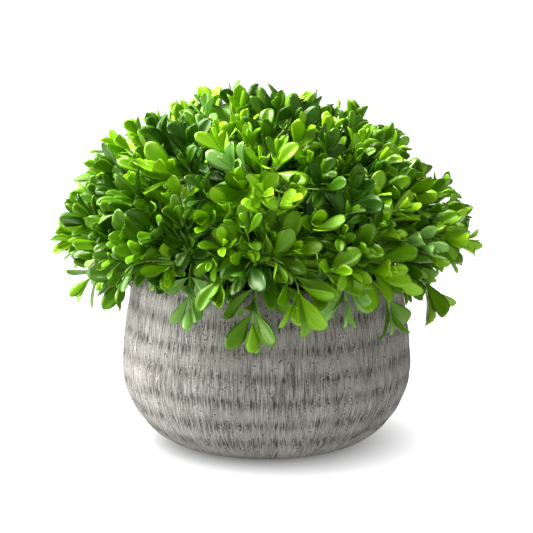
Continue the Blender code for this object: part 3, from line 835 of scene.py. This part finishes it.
class Thicket:
    """What has grown so far, kept by place, so that a new leaf is tested against its neighbours only."""

    CELL = 0.02

    def __init__(self):
        self.cells = {}

    def cell(self, spot):
        return tuple(math.floor(value / self.CELL) for value in spot)

    def add(self, tree, spots, owner):
        for key in {self.cell(spot) for spot in spots}:
            self.cells.setdefault(key, []).append((tree, owner))

    def crossed_by(self, tree, spots, owner):
        tested = set()
        for key in {self.cell(spot) for spot in spots}:
            for other, other_owner in self.cells.get(key, ()):
                if other_owner == owner or id(other) in tested:
                    continue
                tested.add(id(other))
                if tree.overlap(other):
                    return True
        return False


class Spray:
    """A twig with its leaves: it leaves its branch, turns outward, and hangs where it is in the skirt."""

    def __init__(self, number, root, own, direction, target, coat, draw):
        self.number = number
        self.draw = draw
        spread = draw.uniform(1.0 - LEAF_LENGTH_SPREAD, 1.0 + LEAF_LENGTH_SPREAD)
        self.leaf_length = LEAF_LENGTH * coat["leaf"] * spread
        stray = Vector([draw.gauss(0.0, SPRAY_SCATTER) for _ in range(3)])
        height = direction.z - 0.1
        lean = height * coat["hang"] if height < 0.0 else SPRAY_LIFT * min(1.0, 3.0 * height)
        self.outward = (direction + stray + Vector((0.0, 0.0, lean))).normalized()
        tip_leaf = self.leaf_length * LEAF_SMALLEST
        self.end = target - self.outward * tip_leaf
        leaving = (self.end - root).normalized() + own * 0.6
        self.knots = list(smooth_line(root, leaving, self.end, self.outward, TWIG_KNOTS))
        level = self.outward.cross(Vector((0.0, 0.0, 1.0) if abs(self.outward.z) < 0.9 else (1.0, 0.0, 0.0)))
        self.across = Matrix.Rotation(draw.uniform(0.0, math.pi), 3, self.outward) @ level.normalized()
        self.opening = LEAF_OPENING * draw.uniform(0.7, 1.4)
        self.pairs = draw.choice(coat["pairs"])
        self.weight_column = coat["weights"]
        self.leaves = []

    def fits(self):
        """Whether the whole twig passes over the pot's rim or outside its wall."""
        return all(clear_of_pot(knot, POT_CLEARANCE + TWIG_ROOT_RADIUS) for knot in self.knots)

    def at(self, back):
        """The place and the direction of the twig, some way back from its end."""
        left = back
        for tip, before in zip(self.knots[::-1], self.knots[-2::-1]):
            step = (tip - before).length
            if left <= step:
                return tip.lerp(before, left / step), (tip - before).normalized()
            left -= step
        return self.knots[0], (self.knots[1] - self.knots[0]).normalized()

    def length(self):
        return sum((one - other).length for one, other in zip(self.knots, self.knots[1:]))

    def pair_back(self, pair):
        """How far back a pair sits: the young ones at the tip stand closer together."""
        return PAIR_START + PAIR_SPACING * sum(PAIR_STRETCH**step for step in range(pair))

    def slim_tree(self):
        """The twig as a narrow ribbon, for testing leaves against."""
        side = self.across * TWIG_TIP_RADIUS
        corners = [knot + side for knot in self.knots] + [knot - side for knot in self.knots]
        count = len(self.knots)
        faces = [(index, index + 1, count + index + 1, count + index) for index in range(count - 1)]
        return BVHTree.FromPolygons(corners, faces)


def leaf_frame(axis, aside, opening, outward, twist):
    """The directions along and up from a leaf: it opens aside from its twig and turns to the light."""
    angle = math.radians(opening)
    along = (axis * math.cos(angle) + aside * math.sin(angle)).normalized()
    inward = axis * math.sin(angle) - aside * math.cos(angle)
    light = Vector((0.8 * outward.x, 0.8 * outward.y, 0.8))
    lit = (light - along * light.dot(along)).normalized()
    up = inward.normalized() * (1.0 - FACE_LIGHT) + lit * FACE_LIGHT
    up = (up - along * up.dot(along)).normalized()
    return along, Matrix.Rotation(math.radians(twist), 3, along) @ up


def leaf_patch(root, along, up, length, width, bend):
    """A few corners and faces that stand for a leaf when it is tested against others."""
    side = along.cross(up)
    rows = ((PETIOLE, 0.05), (0.36, 0.36), (0.64, 0.5), (0.88, 0.34))
    corners = []
    for share, half in rows:
        middle = root + bent(along, up, length, bend, share)
        corners += [middle + side * (half * width * length), middle - side * (half * width * length)]
    corners.append(root + bent(along, up, length, bend, 1.0))
    faces = ((0, 2, 3, 1), (2, 4, 5, 3), (4, 6, 7, 5), (6, 8, 7))
    return corners, faces


def bent(along, up, length, bend, share):
    """A point of a midrib that bends by an angle over its length."""
    if abs(bend) < 0.001:
        return along * (length * share)
    turned = bend * share
    return (along * math.sin(turned) + up * (1.0 - math.cos(turned))) * (length / bend)


def grow_leaf(spray, root, axis, aside, opening, length, young, thicket):
    """A leaf that fits: tried more closed, turned round the twig and smaller before it is left out."""
    draw = spray.draw
    width = LEAF_WIDTH * draw.uniform(0.84, 1.16)
    bend = draw.uniform(-0.65, 0.40)
    turned = draw.uniform(-LEAF_TWIST, LEAF_TWIST)
    for closing, twist, shrink in LEAF_TRIES:
        side = Matrix.Rotation(math.radians(twist), 3, axis) @ aside
        along, up = leaf_frame(axis, side, min(WIDEST_OPENING, opening * closing), spray.outward, turned)
        corners, faces = leaf_patch(root, along, up, length * shrink, width, bend)
        if not all(clear_of_pot(corner, POT_CLEARANCE) for corner in corners):
            continue
        away = corners[-1] - HEART
        if away.length > reach(away.normalized()) * 1.01:
            continue
        tree = BVHTree.FromPolygons(corners, faces)
        if thicket.crossed_by(tree, corners, spray.number):
            continue
        thicket.add(tree, corners, None)
        return {
            "root": root, "along": along, "up": up, "length": length * shrink, "width": width, "bend": bend,
            "cup": draw.uniform(-0.3, 1.2), "fold": draw.uniform(0.0, 0.42), "wave": draw.uniform(-0.05, 0.05),
            "phase": draw.uniform(0.0, 6.0), "young": young,
        }
    return None


def grow_coat(coat, masses, thicket, first_number):
    """All the sprays of one coat, with the tip leaves grown first and then the pairs, from the tips back."""
    draw = random.Random(SEED + 50 + coat["seed"])
    targets = list(twig_targets(coat))
    sprays = []
    for _, _, own in masses:
        branch = [HEART + own * reach(own) * share for share in (BOUGH_REACH, BRANCH_REACH)]
        near = [target for target in targets if nearest_mass(target[0], masses) is own]
        near.sort(key=lambda target: target[0].dot(own))
        for index, (direction, target) in enumerate(near):
            share = BRANCH_BARE + (1.0 - BRANCH_BARE) * (index + 0.5) / len(near)
            root = branch[0].lerp(branch[1], share)
            for nudge in TWIG_NUDGES:
                heading = direction.lerp(own, nudge).normalized()
                spot = HEART + heading * (target - HEART).length
                spray = Spray(first_number + len(sprays), root, own, heading, spot, coat, draw)
                if spray.fits():
                    sprays.append(spray)
                    break
    for spray in sprays:
        thicket.add(spray.slim_tree(), spray.knots, spray.number)
    for spray in sprays:
        axis = spray.outward
        length = spray.leaf_length * LEAF_SMALLEST
        leaf = grow_leaf(spray, spray.end, axis, spray.across, 0.0, length, True, thicket)
        if leaf:
            spray.leaves.append(leaf)
    for pair in range(max(coat["pairs"])):
        for spray in sprays:
            back = spray.pair_back(pair)
            if pair >= spray.pairs or back > spray.length() * 0.8:
                continue
            node, axis = spray.at(back)
            aside = spray.across - axis * spray.across.dot(axis)
            aside = Matrix.Rotation(pair * math.pi / 2, 3, axis) @ aside.normalized()
            age = min(1.0, LEAF_SMALLEST + 0.2 * (pair + 1))
            opening = spray.opening + PAIR_WIDENING * pair
            for side in (aside, -aside):
                length = spray.leaf_length * age * spray.draw.uniform(0.88, 1.1)
                leaf = grow_leaf(spray, node, axis, side, opening, length, pair == 0, thicket)
                if leaf:
                    spray.leaves.append(leaf)
    return sprays


def nearest_mass(direction, masses):
    return max((own for _, _, own in masses), key=lambda own: own.dot(direction))


def model_leaf():
    """One leaf laid flat, made from a grid; its underside is a copy of its top that shares the rim.

    Returns, for every corner, how far across (-1 to 1), which station along and whether it lies
    underneath, and the faces.
    """
    rows = len(LEAF_STATIONS) - 1
    deselect()
    bpy.ops.mesh.primitive_grid_add(x_subdivisions=LEAF_COLUMNS, y_subdivisions=rows, size=2.0)
    leaf = bpy.context.object
    bpy.ops.object.mode_set(mode="EDIT")
    bpy.ops.mesh.select_all(action="SELECT")
    bpy.ops.mesh.duplicate()
    bpy.ops.mesh.flip_normals()
    bpy.ops.object.mode_set(mode="OBJECT")
    corners = leaf.data.vertices
    for index, corner in enumerate(corners):
        on_rim = max(abs(corner.co.x), abs(corner.co.y)) > 0.99
        corner.co.z = -1.0 if index >= len(corners) // 2 and not on_rim else 0.0
    bpy.ops.object.mode_set(mode="EDIT")
    bpy.ops.mesh.select_all(action="SELECT")
    bpy.ops.mesh.remove_doubles(threshold=0.001)
    bpy.ops.object.mode_set(mode="OBJECT")
    places, faces = mesh_arrays(leaf.data)
    bpy.data.objects.remove(leaf, do_unlink=True)
    stations = np.round((places[:, 1] + 1.0) / 2.0 * rows).astype(int)
    return places[:, 0], stations, places[:, 2] < -0.5, faces


def shaped_leaves(leaves, across, stations, under):
    """The corners of all these leaves: the flat leaf given its outline, and then cupped, folded and bent."""
    def column(key):
        return np.array([leaf[key] for leaf in leaves])

    def per_leaf(key):
        return column(key)[:, None]

    run = np.array(LEAF_STATIONS)[stations]
    blade = np.clip((run - PETIOLE) / (1.0 - PETIOLE), 0.0, 1.0)
    half = blade ** BLADE_CURVES[0] * (1.0 - blade) ** BLADE_CURVES[1]
    half = half / half.max() / 2.0
    along_run = run + (1.0 - LEAF_STATIONS[-1]) * (1.0 - across**2) * (run == LEAF_STATIONS[-1])
    length = per_leaf("length")
    out = across * np.maximum(half * per_leaf("width"), PETIOLE_HALF_WIDTH) * length
    largest = per_leaf("width") * length / 2.0
    lift = per_leaf("fold") * np.abs(out) + per_leaf("cup") * out**2 / (2.0 * largest)
    ripple = np.sin(2.0 * math.pi * run * 1.4 + per_leaf("phase"))
    lift = lift + per_leaf("wave") * length * ripple * across**2 * blade
    lift = lift - np.where(under, LEAF_THICKNESS * (0.4 + 0.6 * (1.0 - across**2)), 0.0)
    bend = per_leaf("bend")
    bend = np.where(np.abs(bend) < 0.001, 0.001, bend)
    turned = bend * along_run
    forward = length / bend * np.sin(turned) - lift * np.sin(turned)
    upward = length / bend * (1.0 - np.cos(turned)) + lift * np.cos(turned)
    along = np.array([leaf["along"] for leaf in leaves])
    up = np.array([leaf["up"] for leaf in leaves])
    side = np.cross(along, up)
    root = np.array([leaf["root"] for leaf in leaves])
    return (
        root[:, None, :]
        + forward[:, :, None] * along[:, None, :]
        + upward[:, :, None] * up[:, None, :]
        + out[:, :, None] * side[:, None, :]
    )


def leaf_skin(name, colour, roughness):
    """A glossy opaque leaf of one plain green, with a fine grain in its gloss."""
    finish = Finish(name, colour, roughness)
    finish.set("Specular IOR Level", 0.45)
    finish.set("Specular Tint", (0.9, 1.0, 0.6, 1.0))
    finish.bump(finish.noise(finish.place((1.0, 1.0, 1.0)), 500.0, 2.0), 0.0003, 0.25)
    return finish.material


def make_foliage(masses):
    """Twigs and leaves: two coats of sprays, and their leaves dealt out by spray into a few greens; the inner coats'
    leaves mostly darker, as painted shade, and a few a pale painted sheen.
    """
    thicket = Thicket()
    sprays = []
    for coat in (OUTER_COAT, HANGING_COAT, INNER_COAT, DEEP_COAT):
        sprays += grow_coat(coat, masses, thicket, len(sprays))
    nodes = ["foliage_" + name for name, _, _ in masses]
    names = [name for name, _, _, _, _ in LEAF_GREENS]
    dealt = {name: [] for name in names}
    draw = random.Random(SEED + 9)
    for spray in sprays:
        # Inner and deep sprays draw from the inner weights, mostly darker greens: painted shade inside the crown
        weights = [green[spray.weight_column] for green in LEAF_GREENS]
        shade = draw.choices(range(len(names)), weights)[0]
        for leaf in spray.leaves:
            younger = leaf["young"] and shade < YOUNGEST_GREEN
            dealt[names[shade + younger]].append(leaf)
    across, stations, under, faces = model_leaf()
    for name, colour, roughness, _, _ in LEAF_GREENS:
        if not dealt[name]:
            continue
        copies = shaped_leaves(dealt[name], across, stations, under)
        piece = joined_mesh("leaves_" + name, copies, faces)
        finish_piece(piece, leaf_skin("leaf_" + name, colour, roughness), "foliage", *nodes)
    lines = [tapered(spray.knots, TWIG_ROOT_RADIUS, TWIG_TIP_RADIUS) for spray in sprays]
    shoots = drawn_tubes("green_shoots", lines, 1)
    shoot = Finish("shoot", (0.22, 0.44, 0.03), 0.45)
    shoot.bump(shoot.noise(shoot.place((1.0, 1.0, 0.4)), 900.0), 0.0003, 0.4)
    finish_piece(shoots, shoot.material, "foliage", *nodes)
    print("leaves", {name: len(leaves) for name, leaves in dealt.items()}, "sprays", len(sprays))


def make_branches(masses, finish):
    """The bare branch in the middle of each mass, which its twigs leave from."""
    lines = []
    for _, _, own in masses:
        points = [HEART + own * reach(own) * share for share in (BOUGH_REACH, BRANCH_REACH)]
        middle = [points[0].lerp(points[1], step / 8) for step in range(9)]
        lines.append(tapered(middle, BOUGH_TIP_RADIUS, TWIG_ROOT_RADIUS))
    branches = drawn_tubes("woody_branches", lines, 2)
    roughen(branches, BARK_DEPTH * 0.4, 1300.0)
    return finish_piece(branches, finish, "wood", *["foliage_" + name for name, _, _ in masses])


def main():
    set_the_stage()
    make_pot()
    make_soil()
    make_crumbs()
    wood = bark()
    make_stem(wood)
    masses = mass_directions()
    make_boughs(masses, wood)
    make_branches(masses, wood)
    make_foliage(masses)


main()
